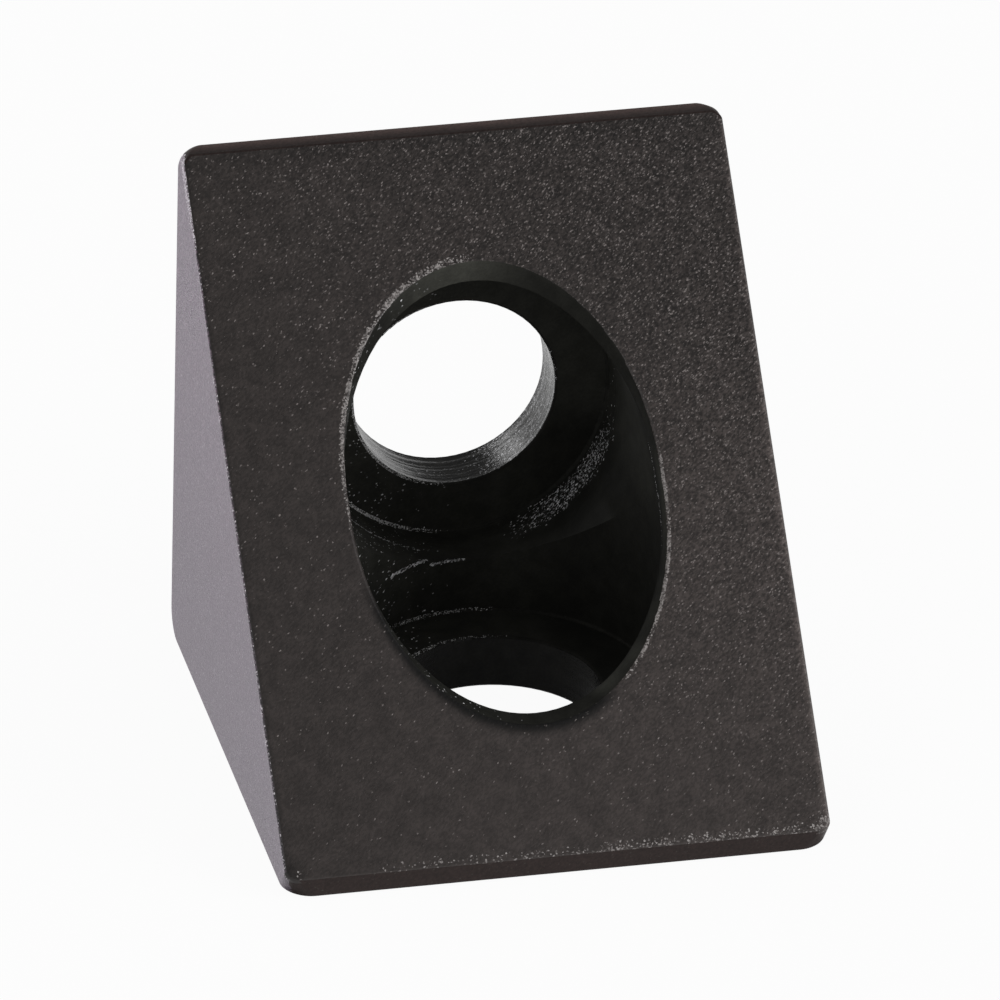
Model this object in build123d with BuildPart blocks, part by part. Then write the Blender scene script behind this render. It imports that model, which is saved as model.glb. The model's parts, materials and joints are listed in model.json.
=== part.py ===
"""Corner bracket for T-slot framing: one solid wedge with two crossing counterbores.

The bracket fills the inside corner of two framing profiles that meet at a right angle.
Each of its two square seats lies on a profile, and a screw goes through each seat into a
nut in the profile's slot. A head pocket is counterbored down each screw axis from the
sloping face. The two pockets are of one size and cross each other, so they open through
the slope as a single tall mouth, and each leaves a thin floor round its screw hole.

Frame: +Z up, X across the bracket. The base seat lies on Z = 0 and the upright seat looks
along +Y. The origin is the middle of the base seat. All sizes are in millimetres.
"""

import os

from build123d import *

# Block
WIDTH = 20.0  # across the bracket, as wide as the profile it sits on
LEG_LENGTH = 20.0  # each seat, from the plane of the other seat to its own tip
TIP_FLAT = 0.8  # blunt end of each leg, so the slope doesn't run out to a knife edge
HEEL_RADIUS = 1.1  # round where the two seats meet, clear of the profiles' corner
CORNER_RADIUS = 1.0  # corners of each seat at its tip, round in the seat's own plane
CORNER_END_RADIUS = 0.1  # those rounds taper to this above the seat, so the slope's stay tight
CORNER_DEPTH = 1.2  # how far above the seat they taper, which is past the slope's edge
EDGE_RADIUS = 0.12  # small break on every outer edge
MOUTH_RADIUS = 0.15  # small break on the lip of the pockets' mouth in the slope

# Screw holes
SCREW_AXIS_OFFSET = 10.0  # from each screw's axis to the seat that it runs beside
SCREW_HOLE_DIAMETER = 7.5  # loose on the screw, which is swung in from the slope
HEAD_POCKET_DIAMETER = 11.5  # counterbore for the screw's head and the key
FLOOR_THICKNESS = 2.1  # metal under the screw's head
POCKET_FLOOR_RADIUS = 0.1  # round at both edges of a pocket's floor: its wall and its hole
SCREW_HOLE_CHAMFER = 0.1  # break where a screw hole comes out of its seat

# Places that follow from the sizes above
heel_y = LEG_LENGTH / 2
tip_y = -LEG_LENGTH / 2
slope_direction = Axis((0, 0, 0), (0, -1, 1))

# Where the two holes are drilled from: each screw axis, level with the other leg's tip
drill_down = Plane((0, heel_y - SCREW_AXIS_OFFSET, LEG_LENGTH), z_dir=(0, 0, 1))
drill_back = Plane((0, tip_y, SCREW_AXIS_OFFSET), z_dir=(0, -1, 0))

# The sharp corner of each seat at its tip, on the +X side, looking into the block
base_corner = Plane((WIDTH / 2, tip_y, 0), x_dir=(0, 1, 0), z_dir=(0, 0, 1))
upright_corner = Plane((WIDTH / 2, heel_y, LEG_LENGTH), x_dir=(-1, 0, 0), z_dir=(0, -1, 0))

with BuildPart() as corner_bracket:
    # Side profile: a right triangle with blunt tips and a rounded heel
    with BuildSketch(Plane.YZ) as side_profile:
        with BuildLine():
            Polyline(
                (heel_y, 0),
                (heel_y, LEG_LENGTH),
                (heel_y - TIP_FLAT, LEG_LENGTH),
                (tip_y, TIP_FLAT),
                (tip_y, 0),
                close=True,
            )
        make_face()
        heel = side_profile.vertices().group_by(Axis.X)[-1].sort_by(Axis.Y)[0]
        fillet(heel, radius=HEEL_RADIUS)
    extrude(amount=WIDTH / 2, both=True)

    # Rounded corners at the tip of each leg. The round is wide at the seat and tight at the
    # slope, so each corner is cut with a sliver lofted from a large notch to a small one.
    for corner in (base_corner, upright_corner):
        with BuildPart(mode=Mode.PRIVATE) as corner_sliver:
            for depth, radius in ((0, CORNER_RADIUS), (CORNER_DEPTH, CORNER_END_RADIUS)):
                with BuildSketch(corner.offset(depth)):
                    Rectangle(radius, radius, align=Align.MIN)
                    with Locations((radius, radius)):
                        Circle(radius, mode=Mode.SUBTRACT)
            loft(ruled=True)
        add(corner_sliver.part, mode=Mode.SUBTRACT)
        add(corner_sliver.part.mirror(Plane.YZ), mode=Mode.SUBTRACT)

    # Outer edges: the slope's outline, then the one smooth loop round both seats, which
    # is picked by its edge at the base tip and runs on up the sides, past the heel
    slope = corner_bracket.faces().filter_by(slope_direction)[0]
    fillet(slope.outer_wire().edges(), radius=EDGE_RADIUS)
    seat_outline = corner_bracket.edges().filter_by(Axis.X).group_by(Axis.Z)[0].sort_by(Axis.Y)[0]
    fillet(seat_outline, radius=EDGE_RADIUS)

    # One counterbored hole down each screw axis, square to the seat that it goes through
    with Locations(drill_down, drill_back):
        CounterBoreHole(
            radius=SCREW_HOLE_DIAMETER / 2,
            counter_bore_radius=HEAD_POCKET_DIAMETER / 2,
            counter_bore_depth=LEG_LENGTH - FLOOR_THICKNESS,
            depth=LEG_LENGTH,
        )

    # Lip of the mouth
    slope = corner_bracket.faces().filter_by(slope_direction)[0]
    fillet(slope.inner_wires()[0].edges(), radius=MOUTH_RADIUS)

    # Both edges of each pocket's floor, and the rim of the screw hole in each seat
    base_seat, base_floor = corner_bracket.faces().filter_by(Axis.Z).sort_by(Axis.Z)[:2]
    upright_floor, upright_seat = corner_bracket.faces().filter_by(Axis.Y).sort_by(Axis.Y)[-2:]
    fillet(base_floor.edges() + upright_floor.edges(), radius=POCKET_FLOOR_RADIUS)
    for seat in (base_seat, upright_seat):
        chamfer(seat.inner_wires()[0].edges(), length=SCREW_HOLE_CHAMFER)

corner_bracket.part.label = "corner_bracket"

os.makedirs("parts", exist_ok=True)
export_step(corner_bracket.part, "parts/corner_bracket.step")
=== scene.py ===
# %% [markdown]
# # A corner bracket for T-slot framing
#
# The real part is a small wedge of black anodised aluminium, 20 mm on each leg. It fills
# the inside corner of two framing profiles. A screw goes through each leg, and the head of
# each screw sits at the bottom of a round pocket. The two pockets cross inside the wedge
# and open through its slope as one tall mouth.
#
# This notebook dresses the imported CAD model for a studio picture. The model gives the
# shape, the size and the place of everything. What is made here is the finish: the
# bead-blasted skin, the rings that the cutters left, a small correction of the corners at
# the tips, and the light that shows it all. Part of that light is painted into the
# finishes: glints, highlights, reflections, light and shade.

# %% [markdown]
# ## The imported part
#
# A plain mesh file could be imported instead, but then the holes would have to be measured
# again. Blender starts with a cube, a lamp and a camera of its own, so these are removed
# first.

# %% Load the imported part
import json
import math

import bmesh
import bpy
from mathutils import Matrix, Vector

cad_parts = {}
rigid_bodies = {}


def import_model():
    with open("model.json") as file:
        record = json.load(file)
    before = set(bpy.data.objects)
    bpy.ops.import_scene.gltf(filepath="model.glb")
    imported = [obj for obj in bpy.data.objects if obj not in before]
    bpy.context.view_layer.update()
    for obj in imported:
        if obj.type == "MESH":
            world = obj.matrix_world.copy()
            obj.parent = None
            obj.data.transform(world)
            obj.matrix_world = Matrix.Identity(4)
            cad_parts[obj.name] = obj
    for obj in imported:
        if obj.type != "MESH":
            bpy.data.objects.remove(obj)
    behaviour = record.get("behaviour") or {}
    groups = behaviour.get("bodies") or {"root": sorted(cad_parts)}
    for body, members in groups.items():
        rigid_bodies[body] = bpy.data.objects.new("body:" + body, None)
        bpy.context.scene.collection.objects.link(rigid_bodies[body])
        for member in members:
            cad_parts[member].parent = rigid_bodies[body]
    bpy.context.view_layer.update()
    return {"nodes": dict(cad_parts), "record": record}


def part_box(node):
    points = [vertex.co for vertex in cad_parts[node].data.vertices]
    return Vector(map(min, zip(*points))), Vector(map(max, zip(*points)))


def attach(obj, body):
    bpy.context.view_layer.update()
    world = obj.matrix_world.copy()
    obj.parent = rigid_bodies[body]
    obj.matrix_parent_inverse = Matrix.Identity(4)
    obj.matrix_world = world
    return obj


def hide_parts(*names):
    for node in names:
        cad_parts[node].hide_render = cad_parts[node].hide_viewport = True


for leftover in list(bpy.data.objects):
    bpy.data.objects.remove(leftover)

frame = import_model()
cad_bracket = frame["nodes"]["corner_bracket"]
print("loaded", cad_bracket.name, "with", len(cad_bracket.data.polygons), "triangles")

# %% [markdown]
# ## Sizes
#
# Blender works in metres and the part is measured in millimetres, so a single `MM` turns
# one into the other. The wedge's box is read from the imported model. The blunt tips and the
# pockets are only described in words there, so their sizes are written here.

# %% Sizes of the wedge and its pockets
MM = 0.001
low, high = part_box("corner_bracket")
middle = (low + high) / 2
TIP_FLAT = 0.8 * MM
POCKET_RADIUS = 5.75 * MM
FLOOR_THICKNESS = 2.1 * MM
print("the wedge measures", [round(size / MM, 2) for size in high - low], "mm")

# %% [markdown]
# ## Screw holes
#
# One hole goes down through the floor of the base, the other back through the upright leg.
# Their places could be typed in, but the record has them, so a wedge of another size would
# still be dressed in the right places.

# %% Screw holes
mounts = {mount["name"]: mount for mount in frame["record"]["mounts"]}


def screw_hole(name):
    """The middle, radius and length of a screw hole, as the record gives them."""
    mount = mounts[name]
    return {
        "middle": Vector(mount["pos_m"]),
        "radius": mount["dims"]["r_mm"] * MM,
        "length": mount["dims"]["length_mm"] * MM,
    }


base_hole = screw_hole("base_screw_hole")
upright_hole = screw_hole("upright_screw_hole")
for hole in (base_hole, upright_hole):
    print("screw hole at", [round(c / MM, 2) for c in hole["middle"]], "mm")

# %% [markdown]
# ## Camera
#
# The bracket is looked at from in front of the slope, a little from the left and from
# above. A very long lens from half a metre away keeps the parallel edges almost parallel,
# as in a catalogue picture. The camera could be turned by hand until the view is right.
# Here its place is worked out from two angles, a slight roll and the point it aims at,
# because those are easier to reason about than a matrix.

# %% The way the camera looks
AZIMUTH = math.radians(13.69)
ELEVATION = math.radians(28.87)
ROLL = math.radians(1.55)

looking = Vector(
    (
        math.sin(AZIMUTH) * math.cos(ELEVATION),
        math.cos(AZIMUTH) * math.cos(ELEVATION),
        -math.sin(ELEVATION),
    )
)
level_right = Vector((math.cos(AZIMUTH), -math.sin(AZIMUTH), 0))
level_up = level_right.cross(looking)
camera_right = level_right * math.cos(ROLL) + level_up * math.sin(ROLL)
camera_up = camera_right.cross(looking)
print("the camera looks along", [round(c, 3) for c in looking])

# %% [markdown]
# ### The camera itself
#
# A camera looks along its own negative Z axis, with X to its right and Y upwards, so those
# three directions fill its matrix. The view transform is set to Standard, with which a colour
# comes out as it is written.

# %% Camera
DISTANCE = 538.7 * MM
AIM = Vector((-0.25, -0.52, 10.14)) * MM
LENS = 540
SENSOR = 36
NEAREST = 0.01
FARTHEST = 10

lens = bpy.data.cameras.new("catalogue_camera")
lens.lens = LENS
lens.sensor_width = SENSOR
lens.clip_start = NEAREST
lens.clip_end = FARTHEST
camera = bpy.data.objects.new("catalogue_camera", lens)
turned = Matrix((camera_right, camera_up, -looking)).transposed().to_4x4()
camera.matrix_world = Matrix.Translation(AIM - looking * DISTANCE) @ turned
scene = bpy.context.scene
scene.collection.objects.link(camera)
scene.camera = camera
scene.view_settings.view_transform = "Standard"
print("camera at", [round(c / MM) for c in camera.location], "mm")

# %% [markdown]
# ## Helpers for node trees
#
# Every finish below is a small tree of nodes. A tree could be wired by hand in the shader
# editor, but a script can give its numbers names and build it again for each finish. `add`
# makes one node: its settings are given by name, and each of its inputs takes either a
# value or the output of an earlier node, which is then wired in.


# %% A node and its wires
def add(tree, kind, inputs=None, **settings):
    """Adds one node to a tree and fills or wires its inputs."""
    node = tree.nodes.new(kind)
    for name, value in settings.items():
        setattr(node, name, value)
    for key, value in (inputs or {}).items():
        if isinstance(value, bpy.types.NodeSocket):
            tree.links.new(value, node.inputs[key])
        else:
            node.inputs[key].default_value = value
    return node


def blank_tree(owner):
    """Switches an owner to nodes and clears what Blender puts there."""
    owner.use_nodes = True
    owner.node_tree.nodes.clear()
    return owner.node_tree


# %% [markdown]
# ### Sums on numbers
#
# A mask says how strong something is at a place, mostly from 0 to 1. Masks are built from
# distances, by a few sums. A Math node mostly takes two numbers, so a longer sum is a chain
# of nodes.


# %% Sums on numbers
def maths(tree, operation, *values):
    """One sum on one, two or three numbers or sockets."""
    return add(tree, "ShaderNodeMath", dict(enumerate(values)), operation=operation).outputs[0]


def chain(tree, operation, values):
    """The same sum again and again, from the first value to the last."""
    total = values[0]
    for value in values[1:]:
        total = maths(tree, operation, total, value)
    return total


def times(tree, *values):
    """All the values multiplied."""
    return chain(tree, "MULTIPLY", values)


def largest(tree, *values):
    """The largest of the values."""
    return chain(tree, "MAXIMUM", values)


def rest_of(tree, amount):
    """What an amount leaves of 1."""
    return maths(tree, "SUBTRACT", 1.0, amount)


def gap_to(tree, value, centre):
    """How far a value is from a centre, on either side."""
    return maths(tree, "ABSOLUTE", maths(tree, "SUBTRACT", value, centre))


# %% [markdown]
# ### Soft changes
#
# Nothing on the part starts at a hard line. `ramp` turns one range into another with soft
# ends, and it is the word that is used most below. `band` does so on both sides of a value.


# %% Soft changes
def mix(tree, amount, none, full):
    """Goes from one number to another as the amount goes from 0 to 1."""
    return add(tree, "ShaderNodeMix", {0: amount, 2: none, 3: full}).outputs[0]


def ramp(tree, value, start, end, bottom=0.0, top=1.0):
    """Turns the range start..end into bottom..top, with soft ends."""
    inputs = {"Value": value, "From Min": start, "From Max": end, "To Min": bottom, "To Max": top}
    return add(tree, "ShaderNodeMapRange", inputs, interpolation_type="SMOOTHSTEP").outputs[0]


def band(tree, value, centre, full, gone, top=1.0):
    """The top up to full on both sides of a centre, falling to 0 where it is gone."""
    return ramp(tree, gap_to(tree, value, centre), full, gone, top, 0.0)


# %% [markdown]
# ### Sums on places
#
# A place has three numbers, and a few sums work on all three at once. Lengths, distances
# and dot products come out as one number, and the node has a socket of its own for those.

# %% Sums on places
GIVES_A_NUMBER = ("DOT_PRODUCT", "LENGTH", "DISTANCE")


def vectors(tree, operation, *values):
    """One sum on places or directions."""
    node = add(tree, "ShaderNodeVectorMath", dict(enumerate(values)), operation=operation)
    return node.outputs["Value" if operation in GIVES_A_NUMBER else "Vector"]


def scaled(tree, vector, factor):
    """A place or a direction, multiplied by a number."""
    inputs = {0: vector, "Scale": factor}
    return add(tree, "ShaderNodeVectorMath", inputs, operation="SCALE").outputs["Vector"]


def xyz(tree, place):
    """The three numbers of a place, by their names."""
    return add(tree, "ShaderNodeSeparateXYZ", {0: place}).outputs


# %% [markdown]
# ## White paper
#
# A small part is shown on white paper. Paper under the same light as the part comes out
# light grey, and more light would wash out the part. So the paper has two faces. Rays that
# come from the camera see it almost plain white, and all the others meet a matt surface,
# which takes the part's soft shadow. Rays that were mirrored by the metal see the white too,
# but not under the bracket, where real paper is dark.

# %% Paper
PAPER = (0.80, 0.80, 0.80, 1)
PAPER_GLOW = 0.95
WHITE = (1, 1, 1, 1)


def ray_kinds(tree):
    """Whether a ray comes straight from the camera, and whether it was mirrored."""
    rays = add(tree, "ShaderNodeLightPath").outputs
    return largest(tree, rays["Is Camera Ray"], rays["Is Transmission Ray"]), rays["Is Glossy Ray"]


paper = bpy.data.materials.new("white_paper")
tree = blank_tree(paper)
spot = xyz(tree, vectors(tree, "ABSOLUTE", add(tree, "ShaderNodeTexCoord").outputs["Object"]))
beside_x = maths(tree, "GREATER_THAN", spot["X"], high.x)
beside_y = maths(tree, "GREATER_THAN", spot["Y"], high.y)
straight, mirrored = ray_kinds(tree)
mirrored_beside = times(tree, mirrored, largest(tree, beside_x, beside_y))
glow_share = times(tree, largest(tree, straight, mirrored_beside), PAPER_GLOW)
matt = add(tree, "ShaderNodeBsdfDiffuse", {"Color": PAPER}).outputs[0]
white = add(tree, "ShaderNodeEmission", {"Color": WHITE, "Strength": 1.0}).outputs[0]
both = add(tree, "ShaderNodeMixShader", {0: glow_share, 1: matt, 2: white}).outputs[0]
add(tree, "ShaderNodeOutputMaterial", {"Surface": both})
print("made", paper.name)

# %% [markdown]
# ## Floor
#
# The paper lies flat, so one large square is enough. It is a hair lower than the bracket's
# seat: two faces in the very same plane would flicker into each other.

# %% Floor
FLOOR_SIZE = 3.0
FLOOR_DROP = 0.01 * MM
floor_level = low.z - FLOOR_DROP
ends = (-FLOOR_SIZE / 2, FLOOR_SIZE / 2)
corners = [(x, y, floor_level) for x in ends for y in ends]
floor_mesh = bpy.data.meshes.new("floor")
floor_mesh.from_pydata(corners, [], [(0, 2, 3, 1)])
floor_mesh.materials.append(paper)
floor = bpy.data.objects.new("floor", floor_mesh)
scene.collection.objects.link(floor)
print("floor of", FLOOR_SIZE, "m, looking", tuple(floor_mesh.polygons[0].normal))

# %% [markdown]
# ## Room
#
# The room does the same as the paper: white to the camera, and a dim even light for the
# part. To mirrored rays it is white beside the part and dark overhead, as a studio is above
# its lamps. The slope faces up, and without that dark ceiling it would mirror plain white
# and turn grey. An image of a real studio would do it too, but here two numbers are enough.

# %% Room
ROOM_LIGHT = 0.40
CEILING = 0.16
CEILING_STARTS = 0.02
CEILING_FULL = 0.35

room = bpy.data.worlds.new("studio")
scene.world = room
tree = blank_tree(room)
direction = add(tree, "ShaderNodeTexCoord").outputs["Generated"]
reflected = ramp(tree, xyz(tree, direction)["Z"], CEILING_STARTS, CEILING_FULL, 1.0, CEILING)
straight, mirrored = ray_kinds(tree)
strength = mix(tree, straight, mix(tree, mirrored, ROOM_LIGHT, reflected), 1.0)
sky = add(tree, "ShaderNodeBackground", {"Color": WHITE, "Strength": strength}).outputs[0]
add(tree, "ShaderNodeOutputWorld", {"Surface": sky})
print("made", room.name)

# %% [markdown]
# ## Lamps
#
# Three softboxes light the part. The strongest stands on the right and lights the slope at
# an angle, so that it stays dark and its grains and worn edges show. A weaker one on the
# left lights the side. The last one stands behind and shines through the upper screw hole,
# which brings out the rings in it. Lamps of a fixed power would do as well, but here the
# power is worked out from a brightness and the area, so a lamp can be made larger and softer
# without getting brighter.

# %% Lamps
LAMP_DISTANCE = 0.80
LAMPS = (
    {"name": "right_softbox", "towards": (0.80, -0.46, 0.38), "size": 0.45, "brightness": 5.0},
    {"name": "left_softbox", "towards": (-0.72, -0.50, 0.48), "size": 0.45, "brightness": 1.8},
    {"name": "rear_softbox", "towards": (-0.42, 0.85, 0.32), "size": 0.25, "brightness": 3.0},
)


def softbox(name, towards, size, brightness):
    """A square soft lamp that looks at the middle of the part."""
    lamp_data = bpy.data.lights.new(name, "AREA")
    lamp_data.shape = "SQUARE"
    lamp_data.size = size
    lamp_data.energy = brightness * math.pi * size * size
    lamp = bpy.data.objects.new(name, lamp_data)
    towards = Vector(towards).normalized()
    lamp.location = middle + towards * LAMP_DISTANCE
    lamp.rotation_euler = towards.to_track_quat("Z", "Y").to_euler()
    scene.collection.objects.link(lamp)
    print(name, "at", [round(c, 2) for c in lamp.location], "m")


for lamp in LAMPS:
    softbox(**lamp)

# %% [markdown]
# ## The bracket's mesh
#
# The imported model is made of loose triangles, so a copy of it is merged: points in the same
# place become one, and the skin closes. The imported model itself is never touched. The copy
# drops its tags and its parent, because it is a new piece. It drops its stored normals too:
# on a merged mesh they would hide the crease where the two pockets meet.

# %% Copy and merge
MERGE = 0.0001 * MM
bracket = cad_bracket.copy()
bracket.data = cad_bracket.data.copy()
bracket.name = bracket.data.name = "blasted_bracket"
for tag in list(bracket.keys()):
    del bracket[tag]
bracket.parent = None
scene.collection.objects.link(bracket)
bracket.data.materials.clear()
if "custom_normal" in bracket.data.attributes:
    bracket.data.attributes.remove(bracket.data.attributes["custom_normal"])

shape = bmesh.new()
shape.from_mesh(bracket.data)
bmesh.ops.remove_doubles(shape, verts=shape.verts, dist=MERGE)
shape.normal_update()


def open_edges():
    """How many edges of the shape have a face on one side only."""
    return sum(edge.is_boundary for edge in shape.edges)


print("open edges after merging:", open_edges())

# %% [markdown]
# ## More points where they are needed
#
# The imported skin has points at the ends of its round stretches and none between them, and
# a surface can only be moved where it has points. The whole mesh could be subdivided, but
# that makes many faces for nothing. Planes cut up only the faces that need it.


# %% Slices
def whole(faces):
    """Faces with all their edges and points, in a fixed order, as a cut wants them."""
    parts = dict.fromkeys(faces)
    for face in faces:
        parts.update(dict.fromkeys(face.edges))
        parts.update(dict.fromkeys(face.verts))
    return list(parts)


def slice_up(faces, normal, places):
    """Cuts faces by a plane through each place, which leaves a loop of points there."""
    cut = whole(faces)
    for place in places:
        sliced = bmesh.ops.bisect_plane(shape, geom=cut, plane_co=place, plane_no=normal)
        cut = sliced["geom"]


# %% [markdown]
# ## The corners at the tips
#
# At the tip of each leg, the corners are round in the plane of the seat and almost sharp at
# the slope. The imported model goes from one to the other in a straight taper. On the real
# part they come out a little different: fuller halfway on the upright leg, and rounder at
# the seat on the base leg. First come the radii, at a depth from the seat: as they are
# packed, and as they should be.

# %% Radii of the corners
CORNER_RADIUS = 1.0 * MM
CORNER_RADIUS_AT_SLOPE = 0.1 * MM
CORNER_DEPTH = 1.2 * MM
UPRIGHT_FULLER = 0.20 * MM
BASE_ROUNDER = 0.24 * MM
BASE_ROUNDER_AT_SLOPE = 0.02 * MM


def packed_round(depth):
    """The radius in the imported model."""
    return CORNER_RADIUS + (CORNER_RADIUS_AT_SLOPE - CORNER_RADIUS) * min(depth / CORNER_DEPTH, 1)


def upright_round(depth):
    """The radius on the upright leg, which is fullest halfway up to the slope."""
    return packed_round(depth) - UPRIGHT_FULLER * math.sin(math.pi * depth / TIP_FLAT)


def base_round(depth):
    """The radius on the base leg, which is roundest at the seat."""
    rounder = BASE_ROUNDER + (BASE_ROUNDER_AT_SLOPE - BASE_ROUNDER) * depth / TIP_FLAT
    return packed_round(depth) + rounder


for share in (0, 0.5, 1):
    radii = [rule(share * TIP_FLAT) / MM for rule in (packed_round, upright_round, base_round)]
    print("radius packed, upright, base:", [round(radius, 2) for radius in radii], "mm")

# %% [markdown]
# ### Where the rounds are
#
# Both tips are described in the same words, so that one rule serves both: where the seat
# is, which way is up from it, and where the leg ends. The two corners of a tip mirror each
# other, so a place is measured from the sharp corner on its own side.

# %% The two tips
Y = 1
Z = 2
tips = (
    {"name": "upright", "seat": high.y, "up": Y, "inward": -1, "across": Z, "end": high.z,
     "radius": upright_round},
    {"name": "base", "seat": low.z, "up": Z, "inward": 1, "across": Y, "end": low.y,
     "radius": base_round},
)


def gaps(place, tip):
    """The depth from the seat, and how far the place is from the sharp corner's two sides."""
    depth = (place[tip["up"]] - tip["seat"]) * tip["inward"]
    return depth, high.x - abs(place.x), abs(place[tip["across"]] - tip["end"])


def on_round(place, tip):
    """Whether a place is on one of the rounds of a tip."""
    depth, side_gap, end_gap = gaps(place, tip)
    return -MERGE < depth < TIP_FLAT and max(side_gap, end_gap) < CORNER_RADIUS + MERGE


print("the tips end at", [round(tip["end"] / MM, 2) for tip in tips], "mm")

# %% [markdown]
# ### Sliding the points
#
# The corners could be cut off and modelled again. But a round that is scaled about its own
# sharp corner stays a round that still meets both sides, so it is enough to slide the
# points towards the sharp corner or away from it, by one factor at each depth. The flat
# faces next to it stay flat. The factor holds for a little beyond the round and then fades.

# %% Slide the corners
CORNER_RINGS = 10
HOLD = 0.15 * MM
FADE = 0.45 * MM


def slide(point, tip):
    """Scales a point about the sharp corner. Says whether it moved."""
    depth, side_gap, end_gap = gaps(point.co, tip)
    beyond = max(side_gap, end_gap) - packed_round(depth) - HOLD
    if depth < -MERGE or beyond > FADE:
        return False
    level = min(depth, TIP_FLAT)
    change = tip["radius"](level) / packed_round(level) - 1
    change *= 1 - max(beyond, 0) / FADE
    point.co.x -= math.copysign(1, point.co.x) * side_gap * change
    point.co[tip["across"]] -= math.copysign(1, tip["end"]) * end_gap * change
    point.co[tip["up"]] += (depth - level) * change * tip["inward"]
    return abs(change) > 0


for tip in tips:
    normal = Vector((0, 0, 0))
    normal[tip["up"]] = 1
    touched = [point for point in shape.verts if on_round(point.co, tip)]
    faces = list(dict.fromkeys(face for point in touched for face in point.link_faces))
    depths = [TIP_FLAT * ring / CORNER_RINGS for ring in range(1, CORNER_RINGS)]
    slice_up(faces, normal, [normal * (tip["seat"] + tip["inward"] * depth) for depth in depths])
    moved = sum(slide(point, tip) for point in shape.verts)
    print(tip["name"], "tip:", moved, "points moved")
print("open edges after the corners:", open_edges())

# %% [markdown]
# ## Where the cutters went
#
# Three round walls keep the rings of the cutter that made them: the two screw holes, and
# the deepest stretch of the upright pocket, where the cutter dwelt and chattered. Each is
# described by a point on its axis, the way in, a radius, and how far it reaches on both
# sides of the point, so that one rule can later carve all three.

# %% Walls that carry tool marks
BASE_IN = Vector((0, 0, 1))
UPRIGHT_IN = Vector((0, -1, 0))
SKIN = 0.03 * MM
CHATTER_DEPTH = 1.5 * MM
CHATTER_OFF_FLOOR = 4 * SKIN
chatter_y = high.y - FLOOR_THICKNESS - CHATTER_DEPTH / 2 - CHATTER_OFF_FLOOR
chatter_point = Vector((0, chatter_y, upright_hole["middle"].z))


def round_wall(name, point, inward, radius, length):
    """A stretch of a round wall, the same length on both sides of its point."""
    return {"name": name, "point": point, "inward": inward, "radius": radius, "reach": length / 2}


walls = (
    round_wall("base_bore", base_hole["middle"], BASE_IN, base_hole["radius"], base_hole["length"]),
    round_wall(
        "upright_bore", upright_hole["middle"], UPRIGHT_IN, upright_hole["radius"], upright_hole["length"]
    ),
    round_wall("chatter", chatter_point, UPRIGHT_IN, POCKET_RADIUS, CHATTER_DEPTH),
)
for wall in walls:
    print(wall["name"], "reaches", round(wall["reach"] / MM, 2), "mm to both sides of its point")

# %% [markdown]
# ### Loops of points for the rings
#
# A ring that is carved into a wall needs closely spaced loops of points round it. The faces
# of a wall could be picked by hand, but a test finds them at any size: all the points of
# such a face are at the wall's radius, and it looks at the wall's axis.

# %% Slice the walls
RING_STEP = 0.07 * MM
CLOSE = SKIN / 3
LOOKS_AT_AXIS = 0.95


def round_place(place, point, inward):
    """How far along an axis a place is, and its arm from that axis."""
    offset = place - point
    height = offset.dot(inward)
    return height, offset - inward * height


def on_wall(face, wall):
    """Whether a face belongs to a round wall."""
    arms = [round_place(point.co, wall["point"], wall["inward"])[1] for point in face.verts]
    if any(abs(arm.length - wall["radius"]) >= CLOSE for arm in arms):
        return False
    arm = round_place(face.calc_center_median(), wall["point"], wall["inward"])[1]
    return face.normal.dot(arm.normalized()) < -LOOKS_AT_AXIS


for wall in walls:
    faces = [face for face in shape.faces if on_wall(face, wall)]
    steps = int(2 * wall["reach"] / RING_STEP)
    span = 2 * (wall["reach"] - RING_STEP / 2)
    heights = [(step / steps - 0.5) * span for step in range(steps + 1)]
    slice_up(faces, wall["inward"], [wall["point"] + wall["inward"] * height for height in heights])
    print(wall["name"], "cut by", len(heights), "planes, from", len(faces), "faces")
print("open edges after cutting:", open_edges())
shape.to_mesh(bracket.data)
shape.free()

# %% [markdown]
# ## Places on the part
#
# Every finish is worked out from the place on the part, in millimetres, and never from the
# view, so that it stays put when the part is turned. A picture could be wrapped round the
# part instead, but it would have seams, and it would blur up close. The first words say how
# far a place is in a direction, and how near it is to a line.


# %% Places in millimetres
def place_in_mm(tree):
    """The place on the bracket, in millimetres."""
    return scaled(tree, add(tree, "ShaderNodeTexCoord").outputs["Object"], 1 / MM)


def along(tree, place, direction):
    """How far the place is in a direction."""
    return vectors(tree, "DOT_PRODUCT", place, direction)


def near_line(tree, place, start, end, reach):
    """1 on the straight line between two places, falling to 0 at the reach."""
    start, end = Vector(start), Vector(end)
    length = (end - start).length
    course = (end - start) / length
    offset = vectors(tree, "SUBTRACT", place, start)
    step = maths(tree, "MINIMUM", largest(tree, along(tree, offset, course), 0.0), length)
    gap = vectors(tree, "DISTANCE", offset, scaled(tree, course, step))
    return ramp(tree, gap, 0.0, reach, 1.0, 0.0)


# %% [markdown]
# ### Distance from the slope and from the mouth
#
# Light and wear follow the slope's plane and the lip of the mouth. The mouth is where the
# two round pockets come through the slope, so the nearer of their two axes tells how far
# outside the lip a place is, without the lip having to be traced.

# %% Below the slope and outside the mouth
SLOPE_IN = Vector((0, 1, -1)).normalized()
SLOPE_POINT = Vector((0, high.y - TIP_FLAT, high.z))
SLOPE_DEPTH = SLOPE_POINT.dot(SLOPE_IN) / MM
UPRIGHT_HEIGHT = upright_hole["middle"].z / MM
print("the upright pocket's axis is", round(UPRIGHT_HEIGHT, 2), "mm above the base seat")


def below_slope(tree, place):
    """How far under the plane of the slope."""
    return maths(tree, "SUBTRACT", along(tree, place, SLOPE_IN), SLOPE_DEPTH)


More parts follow.
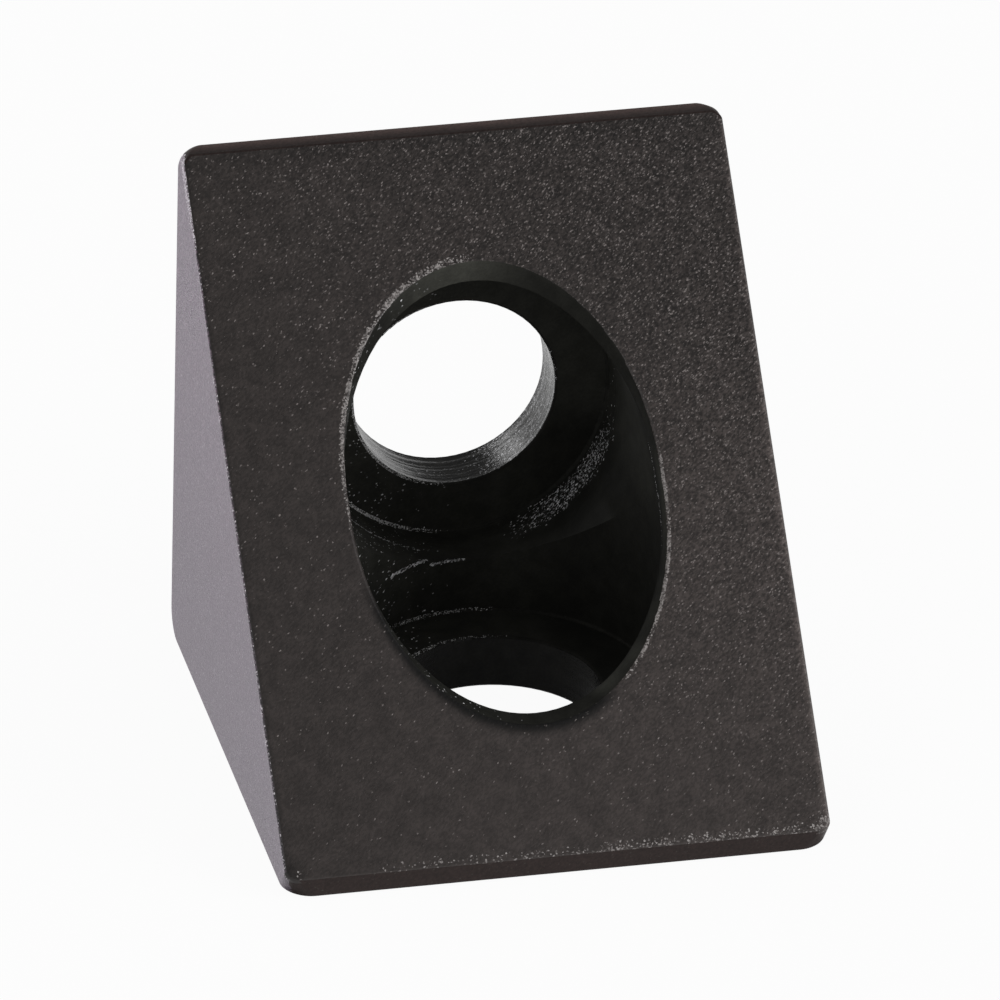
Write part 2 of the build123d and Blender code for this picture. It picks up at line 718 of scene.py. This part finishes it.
def from_mouth(tree, place):
    """How far outside the mouth, measured square to the nearer pocket's axis."""
    parts = xyz(tree, place)
    above_axis = maths(tree, "SUBTRACT", parts["Z"], UPRIGHT_HEIGHT)
    base_arm = add(tree, "ShaderNodeCombineXYZ", {0: parts["X"], 1: parts["Y"]}).outputs[0]
    upright_arm = add(tree, "ShaderNodeCombineXYZ", {0: parts["X"], 1: above_axis}).outputs[0]
    arms = [vectors(tree, "LENGTH", arm) for arm in (base_arm, upright_arm)]
    return maths(tree, "SUBTRACT", maths(tree, "MINIMUM", *arms), POCKET_RADIUS / MM)


# %% [markdown]
# ### Stretches of the mouth
#
# The finishes change round the mouth and inside it, so the stretches that they share have
# masks of their own. A direction and two distances along it are enough for each.

# %% Stretches of the mouth
TO_UPPER_LEFT = (-0.75, 0.0, 0.66)
TO_LOWER_RIGHT = (0.927, 0.0, -0.375)


def upper_left(tree, place):
    """1 at the upper left of the mouth."""
    return ramp(tree, along(tree, place, TO_UPPER_LEFT), 10.6, 12.4)


def lower_right(tree, place):
    """1 at the lower right of the mouth."""
    return ramp(tree, along(tree, place, TO_LOWER_RIGHT), 1.0, 1.5)


def to_the_left(tree, place):
    """1 on the left of the pockets."""
    return ramp(tree, xyz(tree, place)["X"], -3.5, 0.2, 1.0, 0.0)


# %% [markdown]
# ## Speckled metal
#
# Blasted and anodised aluminium is almost black, with small grains that flash where they
# face the light. Real glints depend on the angle of each grain and take very many samples
# to render, so here the glints are painted into the colour, as a pattern of small cells.
# Each cell has a random number, and only those near the top of the range are bright. How
# many are is then a single share, which a mask changes from place to place, to follow where
# the light would catch them.

# %% Dots and dashes
DASH = Vector((0.75, 0.47, 0.47)).normalized()
SQUEEZE = 0.45


def noise(tree, place, **inputs):
    """A soft cloudy pattern."""
    return add(tree, "ShaderNodeTexNoise", {"Vector": place, **inputs}).outputs[0]


def pressed_together(tree, place):
    """The place, squeezed in one direction, which draws round dots out into short dashes."""
    squeezed = times(tree, along(tree, place, DASH), SQUEEZE)
    return vectors(tree, "SUBTRACT", place, scaled(tree, DASH, squeezed))


def dots(tree, place, size, share):
    """0 between the dots and up to 1 in them. The share is how much of the ground they take."""
    cells = add(tree, "ShaderNodeTexVoronoi", {"Vector": place, "Scale": 1 / size}).outputs["Color"]
    number = add(tree, "ShaderNodeSeparateColor", {0: cells}).outputs["Red"]
    limits = {"Value": number, "From Min": rest_of(tree, share), "From Max": 1.0}
    return add(tree, "ShaderNodeMapRange", limits, interpolation_type="LINEAR").outputs[0]


def painted(tree, amount, under, over):
    """One colour over another, by an amount from 0 to 1."""
    return add(tree, "ShaderNodeMix", {0: amount, 6: under, 7: over}, data_type="RGBA").outputs[2]


# %% [markdown]
# ### The finish itself
#
# From the bottom up: a dark ground that is uneven in two sizes (`grit` is fine, `mottle` is
# cloudy), the bright grains, which are painted glints, and the worn dots where bare metal
# shows, which also paint highlights on edges. A zone has three masks: where its painted
# glints are, the light and shade painted on its ground, and where its worn dots and painted
# highlights are. Seven zones differ only in these values, so one function makes them all.
#
# A noise rarely leaves the middle of its range, so the ramps on it run from about 0.3 to
# about 0.7. `size` and `relief` are how wide and how high a grain is, in millimetres, a higher
# `rarity` leaves fewer grains really bright, and `level` is how strongly the metal mirrors.

# %% Speckled metal
# Colour of the worn dots, which are bare metal and painted highlights at once.
WEAR_AND_HIGHLIGHT = (0.36, 0.335, 0.325, 1)
WEAR_AND_HIGHLIGHT_SIZE = 0.055
SHEEN_TINT = (0.90, 0.6, 1.0, 1)
SHEEN_ROUGHNESS = 0.4


def ground(tree, dark, fine, cloud, gritty, grit, mottle, light):
    """The dark colour, made uneven by both patterns, and painted lighter or darker by a mask of light and
    shade.
    """
    rough = times(tree, gritty, ramp(tree, fine, 0.32, 0.68, -grit, grit))
    shade = largest(tree, maths(tree, "ADD", rough, 1.0), 0.0)
    shade = times(tree, shade, ramp(tree, cloud, 0.3, 0.7, 1 - mottle, 1 + mottle), light)
    return scaled(tree, dark, shade)


def speckled(name, dark, glint_colour, share, glint_spread=None, painted_light=None, wear_and_highlight=None, wear_and_highlight_colour=WEAR_AND_HIGHLIGHT,
             size=0.038, rarity=3.0, grit=0.3, even_grit=0.3, mottle=0.15,
             roughness=0.4, level=0.4, relief=0.012, sheen=0.0):
    """Dark metal with small bright grains, which are painted glints. The masks take a tree and a place.
    """
    finish = bpy.data.materials.new(name)
    tree = blank_tree(finish)
    place = place_in_mm(tree)
    pressed = pressed_together(tree, place)
    fine = noise(tree, pressed, Scale=12.0, Detail=2.0, Roughness=0.6)
    cloud = noise(tree, place, Scale=1.5, Detail=3.0)

    glint_spreading = glint_spread(tree, place) if glint_spread else 1.0
    # Light and shade painted on the ground, from the zone's mask.
    light = painted_light(tree, place) if painted_light else 1.0
    gritty = maths(tree, "ADD", times(tree, glint_spreading, 1 - even_grit), even_grit)
    colour = ground(tree, dark, fine, cloud, gritty, grit, mottle, light)

    # The bright grains are painted glints, dense where the light would catch them.
    clustered = times(tree, glint_spreading, share, ramp(tree, fine, 0.35, 0.65, 0.6, 1.25))
    painted_glints = maths(tree, "POWER", dots(tree, pressed, size, clustered), rarity)
    colour = painted(tree, painted_glints, colour, (*glint_colour, 1))
    # Worn dots, which also paint highlights on edges and lips.
    if wear_and_highlight:
        uneven = ramp(tree, cloud, 0.35, 0.65, 0.5, 1.3)
        bare_and_lit = dots(tree, place, WEAR_AND_HIGHLIGHT_SIZE, times(tree, wear_and_highlight(tree, place), uneven))
        colour = painted(tree, bare_and_lit, colour, wear_and_highlight_colour)

    bump = {"Height": fine, "Strength": 1.0, "Distance": relief * MM}
    inputs = {
        "Base Color": colour,
        "Normal": add(tree, "ShaderNodeBump", bump).outputs[0],
        "Roughness": roughness,
        "Specular IOR Level": level,
        "Sheen Weight": sheen,
        "Sheen Tint": SHEEN_TINT,
        "Sheen Roughness": SHEEN_ROUGHNESS,
    }
    metal = add(tree, "ShaderNodeBsdfPrincipled", inputs).outputs[0]
    add(tree, "ShaderNodeOutputMaterial", {"Surface": metal})
    print("made", name)
    return finish


# %% [markdown]
# ## The slope
#
# The slope is the face that is seen. Its painted glints get denser to the upper right, where
# the light catches them. The lip of the mouth has worn dots in two places, and so do the
# lower edge and the lower right corner: they are bare metal and painted highlights at once.
# The dots there could be brighter grains, but they are a second pattern, because bare metal
# lies on top of whatever the skin does.

# %% Glints, wear and highlights of the slope
TO_UPPER_RIGHT = (0.75, 0.25, 0.38)
WIDE_LIP = {"centre": 0.07, "full": 0.06, "gone": 0.16}
NARROW_LIP = {"centre": 0.04, "full": 0.05, "gone": 0.11}
WIDE_LIP_SHARE = 0.72
NARROW_LIP_SHARE = 0.95
LOWER_EDGE_SHARE = 0.34
# Worn dots with a painted highlight at the lower right corner of the slope.
WORN_LIT_CORNER = ((9.75, -9.75, 0.9), (9.80, -9.70, 1.0))
WORN_LIT_CORNER_REACH = 0.42
WORN_LIT_CORNER_SHARE = 0.65


def face_glints(tree, place):
    """Painted glints: more to the upper right, where the light catches them, and fewer near the lower
    edge.
    """
    right = ramp(tree, along(tree, place, TO_UPPER_RIGHT), -3.0, 14.0, 0.10, 0.98)
    return times(tree, right, ramp(tree, xyz(tree, place)["Z"], 1.0, 9.0, 0.5, 1.0))


def face_wear_and_highlights(tree, place):
    """Worn dots that are also painted highlights: on two stretches of the lip, along the lower edge, and
    at its right corner.
    """
    parts = xyz(tree, place)
    out = from_mouth(tree, place)
    wide_lip = times(tree, band(tree, out, **WIDE_LIP), upper_left(tree, place), WIDE_LIP_SHARE)
    narrow_lip = times(tree, band(tree, out, **NARROW_LIP), lower_right(tree, place), NARROW_LIP_SHARE)
    more_to_the_right = ramp(tree, parts["X"], -9.0, 4.0, 0.02, LOWER_EDGE_SHARE)
    bottom = times(tree, ramp(tree, parts["Z"], 0.85, 1.08, 1.0, 0.0), more_to_the_right)
    corner = near_line(tree, place, *WORN_LIT_CORNER, WORN_LIT_CORNER_REACH)
    corner = ramp(tree, corner, 0.0, 1.0, 0.0, WORN_LIT_CORNER_SHARE)
    return largest(tree, wide_lip, narrow_lip, bottom, corner)


# %% [markdown]
# ### Painted light and shade on the slope
#
# The slope's ground is painted lighter and darker, as light and shade fall on it. That could
# be left to the lamps, but their light changes slowly over the whole face, and the changes
# here follow its edges. So one mask for each edge paints the ground lighter or darker there,
# and all of them are multiplied.

# %% Finish of the slope
WARM = (0.0335, 0.0276, 0.0258)
TO_THE_FRONT_RIGHT = (0.9, -0.3, -0.3)
TO_LOWER_LIP = (-0.35, 0.0, -0.94)
# The lower left corner of the slope, painted in shade.
SHADED_CORNER = ((-9.9, -9.9, 0.8), (-9.8, -9.8, 0.9))
SHADED_CORNER_REACH = 1.0


def face_painted_light(tree, place):
    """Painted light and shade: lighter to the right and at the right edge; darker at the upper right, the
    left and top edges, the corner and under the mouth.
    """
    parts = xyz(tree, place)
    right = ramp(tree, along(tree, place, TO_THE_FRONT_RIGHT), -13.0, 9.0, 0.98, 1.38)
    high_up = ramp(tree, parts["Z"], 9.0, 16.0, 0.0, 0.30)
    upper_right = times(tree, ramp(tree, parts["X"], -7.0, 7.0), high_up)
    left_edge = ramp(tree, parts["X"], -9.97, -9.72, 0.70, 1.0)
    right_edge = ramp(tree, parts["X"], 9.66, 9.93, 1.0, 1.85)
    corner = near_line(tree, place, *SHADED_CORNER, SHADED_CORNER_REACH)
    corner = ramp(tree, corner, 0.1, 0.9, 1.0, 0.62)
    top_edge = ramp(tree, parts["Z"], 19.4, 19.8, 1.0, 0.80)
    under_mouth = ramp(tree, along(tree, place, TO_LOWER_LIP), -6.2, -5.0)
    shadow = times(tree, under_mouth, ramp(tree, from_mouth(tree, place), 0.06, 0.40, 0.95, 0.0))
    masks = (right, rest_of(tree, upper_right), left_edge, right_edge, corner, top_edge)
    return times(tree, *masks, rest_of(tree, shadow))


finishes = {}
finishes["face"] = speckled(
    "blasted_face", WARM, (0.225, 0.200, 0.192), 0.60,
    glint_spread=face_glints, painted_light=face_painted_light, wear_and_highlight=face_wear_and_highlights,
    rarity=8.0, grit=0.55, roughness=0.45, level=0.35,
)

# %% [markdown]
# ## Seats and tips
#
# The two seats lie against the profiles. They are blasted like the slope, and nothing wears
# them, so their grains are few and even. The narrow blunt faces at the tips, and the breaks
# round them, are too small to hold grains: a smooth brown-black, with a painted reflection
# that makes it lighter towards the upright seat. More masks on the slope's finish could do
# both, but two more sets of values are easier to follow.


# %% Finish of the seats and the tips
def strip_painted_reflection(tree, place):
    """Painted reflection: lighter towards the upright seat."""
    return ramp(tree, xyz(tree, place)["Y"], 9.25, 10.0, 1.15, 4.2)


finishes["seat"] = speckled(
    "blasted_seat", WARM, (0.24, 0.213, 0.205), 0.30,
    rarity=8.0, grit=0.45, roughness=0.45, level=0.35,
)
finishes["strip"] = speckled(
    "smooth_strip", (0.021, 0.0140, 0.0127), (0.05, 0.045, 0.04), 0.05,
    painted_light=strip_painted_reflection, grit=0.2, mottle=0.08, roughness=0.5, level=0.2, relief=0.004,
)

# %% [markdown]
# ## Sides
#
# The sides are seen at a flat angle, where a blasted skin looks powdery and a little mauve.
# Mirror-like reflection alone can't do that. The shader's sheen adds the soft glow of a
# rough skin seen from the side, and a mauve reflection is painted into the ground and the
# grains, which are also painted lighter towards the top. The edge to the slope has worn
# dots near the upper tip, which are also painted highlights.


# %% Finish of the sides
def side_wear_and_highlights(tree, place):
    """Worn dots, also painted highlights, in a line along the slope's edge, and in a patch at the upper
    tip.
    """
    below = below_slope(tree, place)
    height = xyz(tree, place)["Z"]
    higher = ramp(tree, height, 16.5, 19.2, 0.15, 0.9)
    line = times(tree, ramp(tree, below, 0.15, 0.32, 1.0, 0.0), higher)
    at_tip = ramp(tree, height, 17.8, 19.0, 0.0, 0.75)
    patch = times(tree, ramp(tree, below, 0.30, 0.60, 1.0, 0.0), at_tip)
    return largest(tree, line, patch)


def side_painted_light(tree, place):
    """Painted light: lighter towards the top."""
    return ramp(tree, xyz(tree, place)["Z"], 2.0, 18.0, 0.5, 1.5)


# The ground and grains are mauve and lighter than the slope's: a painted reflection of the bright room at
# a flat angle. The near-white worn dots are bare metal and painted highlight.
finishes["side"] = speckled(
    "blasted_side", (0.054, 0.037, 0.049), (0.40, 0.36, 0.41), 0.12,
    painted_light=side_painted_light, wear_and_highlight=side_wear_and_highlights, wear_and_highlight_colour=(0.95, 0.90, 0.95, 1),
    grit=1.3, even_grit=1.0, mottle=0.25, roughness=0.3, level=0.5, relief=0.030, sheen=0.3,
)

# %% [markdown]
# ## Pockets
#
# The pockets' walls are as the cutter left them: smoother than the slope and almost black,
# with an olive cast. Few things catch the light there: two nicks, the ring where the cutter
# stopped, the stretch where it chattered, and a bright line under the lip. Their highlights
# are painted, and so are a few glints on the lit left side. They could be drawn as lines,
# but worn metal breaks up into dots, so they use the grains of the slope, kept to where
# their masks are.

# %% Marks in the pockets
NICKS = (
    ((-2.88, 4.98, 4.26), (-1.40, 5.58, 4.50), 0.13),
    ((-1.28, 5.60, 4.22), (-0.05, 5.75, 4.25), 0.10),
)
NICK_STRENGTH = 1.8
STOP_RING = {"centre": 6.4, "full": 0.02, "gone": 0.10, "top": 0.7}
CHATTER_SHARE = 0.55
UNDER_LIP_LINE = {"centre": 1.06, "full": 0.03, "gone": 0.10, "top": 0.5}
STRAY_SHARE = 0.035


def lit_chatter_band(tree, place):
    """The chattered stretch of the upright pocket, at its lower right, with its painted highlight."""
    parts = xyz(tree, place)
    deep = times(tree, ramp(tree, parts["Y"], 6.0, 6.8), ramp(tree, parts["Y"], 7.3, 7.88, 1.0, 0.0))
    low_down = ramp(tree, parts["Z"], 6.8, 9.4, 1.0, 0.02)
    return times(tree, deep, times(tree, ramp(tree, parts["X"], 1.4, 3.6), low_down))


def pocket_lit_marks(tree, place):
    """Painted highlights in the nicks, the cutter's ring, the chatter and the line under the lip, and
    painted glints to the left.
    """
    left = to_the_left(tree, place)
    nicks = largest(tree, *(near_line(tree, place, *nick) for nick in NICKS))
    nicks = times(tree, nicks, NICK_STRENGTH)
    ring = times(tree, band(tree, xyz(tree, place)["Y"], **STOP_RING), left)
    chatter = times(tree, lit_chatter_band(tree, place), CHATTER_SHARE)
    under_lip_line = times(tree, band(tree, below_slope(tree, place), **UNDER_LIP_LINE), lower_right(tree, place))
    return largest(tree, nicks, ring, chatter, under_lip_line, times(tree, left, STRAY_SHARE))


# %% [markdown]
# ### Painted light and shade in the pockets
#
# Just under the lip, the wall is lit from the room at the top and at the lower right. Deeper
# down the lit rim fades, and the lower right of the wall lies in shade. A fuller model of a
# room would light it so by itself. This one is kept simple, so that light and shade are
# painted on the ground.

# %% Finish of the pockets
OLIVE = (0.0250, 0.0250, 0.0215)
LIT_TOP = {"centre": -0.8, "full": 0.4, "gone": 3.0, "top": 1.2}
LIT_PATCH = ((3.85, -4.57, 5.73), (2.61, -5.42, 4.88))
LIT_PATCH_REACH = 0.8
LIT_PATCH_STRENGTH = 1.2
UNLIT_RIM = 0.65


def pocket_painted_light(tree, place):
    """Painted light on a rim under the lip, and painted shade on the wall at the lower right."""
    parts = xyz(tree, place)
    below = below_slope(tree, place)
    top = times(tree, band(tree, parts["X"], **LIT_TOP), ramp(tree, parts["Z"], 13.0, 14.5))
    right = times(tree, lower_right(tree, place), ramp(tree, below, 0.3, 0.9, 0.9, 0.0))
    patch = times(tree, near_line(tree, place, *LIT_PATCH, LIT_PATCH_REACH), LIT_PATCH_STRENGTH)
    rim = chain(tree, "ADD", (right, patch, top, UNLIT_RIM))
    lit = mix(tree, ramp(tree, below, 0.9, 1.9, 1.0, 0.0), 1.0, rim)
    shaded = times(tree, ramp(tree, parts["X"], 1.5, 4.0), ramp(tree, parts["Z"], 8.0, 9.5, 0.5, 0.0))
    return times(tree, lit, rest_of(tree, shaded))


finishes["pocket"] = speckled(
    "turned_pocket", OLIVE, (0.9, 0.9, 0.92), 1.0,
    glint_spread=pocket_lit_marks, painted_light=pocket_painted_light,
    size=0.040, roughness=0.7, level=0.10, relief=0.006,
)

# %% [markdown]
# ## Where the pockets' walls meet their floors
#
# The cutter's corner leaves a tiny round between wall and floor. It catches the light on
# the left of the upright pocket, and fainter behind the screw hole of the base, and that
# highlight is painted. A plain bright line would look drawn, so it gets the smallest grains
# of all, packed closely.


# %% Finish of the pockets' corners
def corner_highlight(tree, place):
    """Painted highlight: bright on the left of the upright pocket's floor, and fainter behind the base
    hole.
    """
    parts = xyz(tree, place)
    in_base = ramp(tree, parts["Z"], 2.6, 3.0, 1.0, 0.0)
    behind = times(tree, ramp(tree, parts["X"], -0.8, 1.6, 0.35, 0.0), in_base)
    upright = times(tree, to_the_left(tree, place), rest_of(tree, in_base))
    return largest(tree, behind, upright)


def corner_painted_shade(tree, place):
    """Painted shade: duller towards the right."""
    return ramp(tree, xyz(tree, place)["X"], -1.5, 2.5, 1.0, 0.60)


finishes["corner"] = speckled(
    "cutter_corner", OLIVE, (0.7, 0.7, 0.7), 1.0,
    glint_spread=corner_highlight, painted_light=corner_painted_shade,
    size=0.024, rarity=1.4, roughness=0.7, level=0.10,
)

# %% [markdown]
# ## The walls of the screw holes
#
# The screw holes are drilled, and their walls are shinier than the pockets. Light from
# behind runs along the upper one and sparks on its right. The grooves come in the next step.
# They carry most of the look, and the finish adds painted sparks and a low roughness.


# %% Finish of the screw holes
def bore_sparks(tree, place):
    """Painted sparks of the light from behind, on the right of the upright hole."""
    parts = xyz(tree, place)
    return times(tree, ramp(tree, parts["Y"], 7.0, 7.8), ramp(tree, parts["X"], 0.6, 2.0, 0.06, 1.0))


finishes["bore"] = speckled(
    "drilled_bore", (0.018, 0.0175, 0.016), (0.95, 0.95, 0.98), 0.50,
    glint_spread=bore_sparks, size=0.036, rarity=3.5, mottle=0.2, roughness=0.2, level=0.35,
)
for finish in finishes.values():
    bracket.data.materials.append(finish)

# %% [markdown]
# ## Tool marks
#
# A drill or a boring bar leaves fine rings in a wall. They could be faked by a bump in the
# finish, but here they are real grooves, so they also show in the outline of the rim and in
# the mesh. Geometry Nodes suit this: the rings follow a rule, and each wall needs the same
# rule with other sizes. The tree picks the points of one wall, pushes them outwards into
# the metal by a pattern of rings and a little shake, and gives the wall its finish.

# %% Inputs of the tool marks
MARK_INPUTS = {
    "Point": "Vector",
    "Inward": "Vector",
    "Radius": "Float",
    "Reach": "Float",
    "Pitch": "Float",
    "Depth": "Float",
    "Chatter": "Float",
    "Seed": "Float",
    "Finish": "Material",
}


def empty_marks_tree():
    """A tree with a mesh in, a mesh out, and a named input for each size."""
    tree = bpy.data.node_groups.new("tool_marks", "GeometryNodeTree")
    tree.is_modifier = True
    tree.interface.new_socket("Geometry", in_out="OUTPUT", socket_type="NodeSocketGeometry")
    tree.interface.new_socket("Geometry", in_out="INPUT", socket_type="NodeSocketGeometry")
    for name, kind in MARK_INPUTS.items():
        tree.interface.new_socket(name, in_out="INPUT", socket_type="NodeSocket" + kind)
    return tree


# %% [markdown]
# ### The rule of the rings
#
# The rings are a noise along the axis alone, so they are the same all the way round. The
# shake is a noise in all directions. `Chatter` goes from one to the other. Both have a fixed
# seed, so the same rings come out each time.

# %% Depth of the marks
SHAKES_PER_MM = 6


def ring_depth(tree, given, place, height):
    """How deep the marks are at a place, from rings and shake."""
    turns = maths(tree, "ADD", maths(tree, "DIVIDE", height, given["Pitch"]), given["Seed"])
    along_axis = {"W": turns, "Scale": 1.0, "Detail": 1.0}
    rings = add(tree, "ShaderNodeTexNoise", along_axis, noise_dimensions="1D").outputs[0]
    all_round = {"Vector": place, "W": given["Seed"], "Scale": SHAKES_PER_MM / MM, "Detail": 2.0}
    shake = add(tree, "ShaderNodeTexNoise", all_round, noise_dimensions="4D").outputs[0]
    mixed = mix(tree, given["Chatter"], ramp(tree, rings, 0.3, 0.7), ramp(tree, shake, 0.3, 0.7))
    return times(tree, mixed, given["Depth"])


# %% [markdown]
# ### The tree that carves
#
# One selection keeps everything to the wall: the points at its radius and within its reach.
# The tree ends in two plain steps: Realize Instances, so that nothing is left as a mere
# copy, and Set Material.


# %% Tool marks
def tool_marks():
    """A tree that carves rings into one round wall, outwards into the metal."""
    tree = empty_marks_tree()
    given = add(tree, "NodeGroupInput").outputs
    place = add(tree, "GeometryNodeInputPosition").outputs[0]
    offset = vectors(tree, "SUBTRACT", place, given["Point"])
    height = vectors(tree, "DOT_PRODUCT", offset, given["Inward"])
    arm = vectors(tree, "SUBTRACT", offset, scaled(tree, given["Inward"], height))

    off_wall = gap_to(tree, vectors(tree, "LENGTH", arm), given["Radius"])
    near = maths(tree, "LESS_THAN", off_wall, SKIN)
    inside = maths(tree, "LESS_THAN", maths(tree, "ABSOLUTE", height), given["Reach"])
    chosen = times(tree, near, inside)

    depth = ring_depth(tree, given, place, height)
    push = scaled(tree, vectors(tree, "NORMALIZE", arm), depth)
    moves = {"Geometry": given["Geometry"], "Selection": chosen, "Offset": push}
    carved = add(tree, "GeometryNodeSetPosition", moves).outputs[0]
    real = add(tree, "GeometryNodeRealizeInstances", {"Geometry": carved}).outputs[0]
    wears = {"Geometry": real, "Selection": chosen, "Material": given["Finish"]}
    dressed = add(tree, "GeometryNodeSetMaterial", wears).outputs[0]
    add(tree, "NodeGroupOutput", {"Geometry": dressed})
    return tree


marks_tree = tool_marks()
print("tool marks:", len(marks_tree.nodes), "nodes")

# %% [markdown]
# ### Carving the three walls
#
# The modifier runs once for each wall, and its result is kept as a plain mesh. A modifier
# knows its inputs by identifier and not by name, so each value is handed over by looking
# the identifier up. The rings of the upright hole are the deepest, because the light from
# behind has to draw them.

# %% Carve
MARKS = {
    "base_bore": {"Pitch": 0.16 * MM, "Depth": 0.012 * MM, "Chatter": 0.25, "Seed": 3.0},
    "upright_bore": {"Pitch": 0.20 * MM, "Depth": 0.030 * MM, "Chatter": 0.35, "Seed": 8.0},
    "chatter": {"Pitch": 0.22 * MM, "Depth": 0.020 * MM, "Chatter": 0.6, "Seed": 5.0},
}
WALL_FINISH = {"base_bore": "bore", "upright_bore": "bore", "chatter": "pocket"}


def carve(piece, values):
    """Runs the tree on a piece once and keeps the result as a plain mesh."""
    modifier = piece.modifiers.new("tool_marks", "NODES")
    modifier.node_group = marks_tree
    for item in marks_tree.interface.items_tree:
        if item.in_out == "INPUT" and item.name in values:
            modifier[item.identifier] = values[item.name]
    piece.update_tag()
    ready = piece.evaluated_get(bpy.context.evaluated_depsgraph_get())
    carved = bpy.data.meshes.new_from_object(ready)
    piece.modifiers.clear()
    piece.data = carved


for wall in walls:
    name = wall["name"]
    sizes = {key.capitalize(): wall[key] for key in ("point", "inward", "radius", "reach")}
    carve(bracket, {**sizes, **MARKS[name], "Finish": finishes[WALL_FINISH[name]]})
    print(name, "carved,", len(bracket.data.polygons), "faces")

# %% [markdown]
# ## Which face gets which finish
#
# The finishes could be painted on by hand, face by face. But each zone has a plain
# description: where a face lies, and which way it looks. Faces inside the holes come first,
# because they are told apart by their distance from the holes' axes.

# %% Faces inside the holes
FLAT = 0.999
TURN_RADIUS = 0.12 * MM
BORE_LOOKS_IN = 0.3
POCKET_LOOKS_IN = 0.9


def inside_finish(face):
    """The finish of a face of a screw hole or a pocket, or None outside them."""
    for hole, inward in ((base_hole, BASE_IN), (upright_hole, UPRIGHT_IN)):
        height, arm = round_place(face.calc_center_median(), hole["middle"], inward)
        from_floor = height - FLOOR_THICKNESS / 2
        looks_in = -face.normal.dot(arm.normalized())
        in_bore = arm.length < hole["radius"] + TURN_RADIUS and from_floor < -TURN_RADIUS / 2
        if in_bore and looks_in > BORE_LOOKS_IN:
            return "bore"
        in_pocket = arm.length < POCKET_RADIUS
        if in_pocket and abs(from_floor) < CLOSE and face.normal.dot(inward) > FLAT:
            return "pocket"
        if in_pocket and abs(from_floor) < TURN_RADIUS:
            return "corner"
        on_pocket_wall = from_floor > 0 and abs(arm.length - POCKET_RADIUS) < 2 * SKIN
        if on_pocket_wall and looks_in > POCKET_LOOKS_IN:
            return "pocket"
    return None


# %% [markdown]
# ### Faces on the outside
#
# The flat faces are told by the way they look. The narrow breaks between them have to go
# with one neighbour or the other. Along the slope they go with the slope, near the tips with
# the blunt strips, and on the left edge a break that leans far enough goes with the side.

# %% Faces on the outside
UP = Vector((0, 0, 1))
FRONT = Vector((0, -1, 0))
EDGE_REACH = 0.2 * MM
CORNER_REACH = 1.3 * MM
SLOPE_EDGE_LEANS = 0.6
TIP_EDGE_LEANS = 0.7
BACK_EDGE_LEANS = 0.5


def outside_finish(face):
    """The finish of a face of the wedge's outside, from where it lies and where it looks."""
    looks = face.normal
    if max(looks.dot(UP), looks.dot(FRONT)) > FLAT:
        return "strip"
    if min(looks.dot(UP), looks.dot(FRONT)) < -FLAT:
        return "seat"
    if looks.dot(SLOPE_IN) < -FLAT:
        return "face"
    if abs(looks.x) > FLAT:
        return "side"

    place = face.calc_center_median()
    near_slope = (place - SLOPE_POINT).dot(SLOPE_IN) < EDGE_REACH
    near_side = abs(place.x) >= high.x - EDGE_REACH
    from_tips = min(place.z - low.z, high.z - place.z)
    if near_slope and not near_side and from_tips > CORNER_REACH:
        return "face"
    if near_slope and from_tips > CORNER_REACH / 2:
        above_corner = place.z > low.z + CORNER_REACH
        return "side" if above_corner and looks.x < -SLOPE_EDGE_LEANS else "face"
    if place.y < low.y + CORNER_REACH or place.z > high.z - CORNER_REACH:
        return "side" if looks.x < -TIP_EDGE_LEANS else "strip"
    return "side" if abs(looks.x) > BACK_EDGE_LEANS else "seat"


# %% [markdown]
# ### Dressing the faces
#
# Every face gets its finish and is set to shade smoothly. The areas are printed, because a
# zone that has swallowed another one shows there at once.

# %% Dress the faces
slot_of = {name: bracket.data.materials.find(finish.name) for name, finish in finishes.items()}
area = dict.fromkeys(finishes, 0.0)
shape = bmesh.new()
shape.from_mesh(bracket.data)
shape.normal_update()
for face in shape.faces:
    name = inside_finish(face) or outside_finish(face)
    face.material_index = slot_of[name]
    face.smooth = True
    area[name] += face.calc_area() / MM / MM
shape.to_mesh(bracket.data)
shape.free()
print("square millimetres:", {name: round(mm2, 1) for name, mm2 in area.items()})

# %% [markdown]
# ## Even normals
#
# Smooth shading bends the light over every edge. Steep edges are marked sharp and stay
# crisp. On the gentle ones, the Weighted Normal modifier lets the large flat faces win over
# the narrow breaks next to them, so that flat faces look flat. A bevel would do the same
# with more faces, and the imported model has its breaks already.

# %% Even normals
SHARP_ANGLE = math.radians(40)
bracket.data.set_sharp_from_angle(angle=SHARP_ANGLE)
weights = bracket.modifiers.new("even_normals", "WEIGHTED_NORMAL")
weights.keep_sharp = True
print("shaded smooth up to", round(math.degrees(SHARP_ANGLE)), "degrees")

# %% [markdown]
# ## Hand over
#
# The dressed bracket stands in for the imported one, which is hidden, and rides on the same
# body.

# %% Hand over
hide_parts("corner_bracket")
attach(bracket, "root")
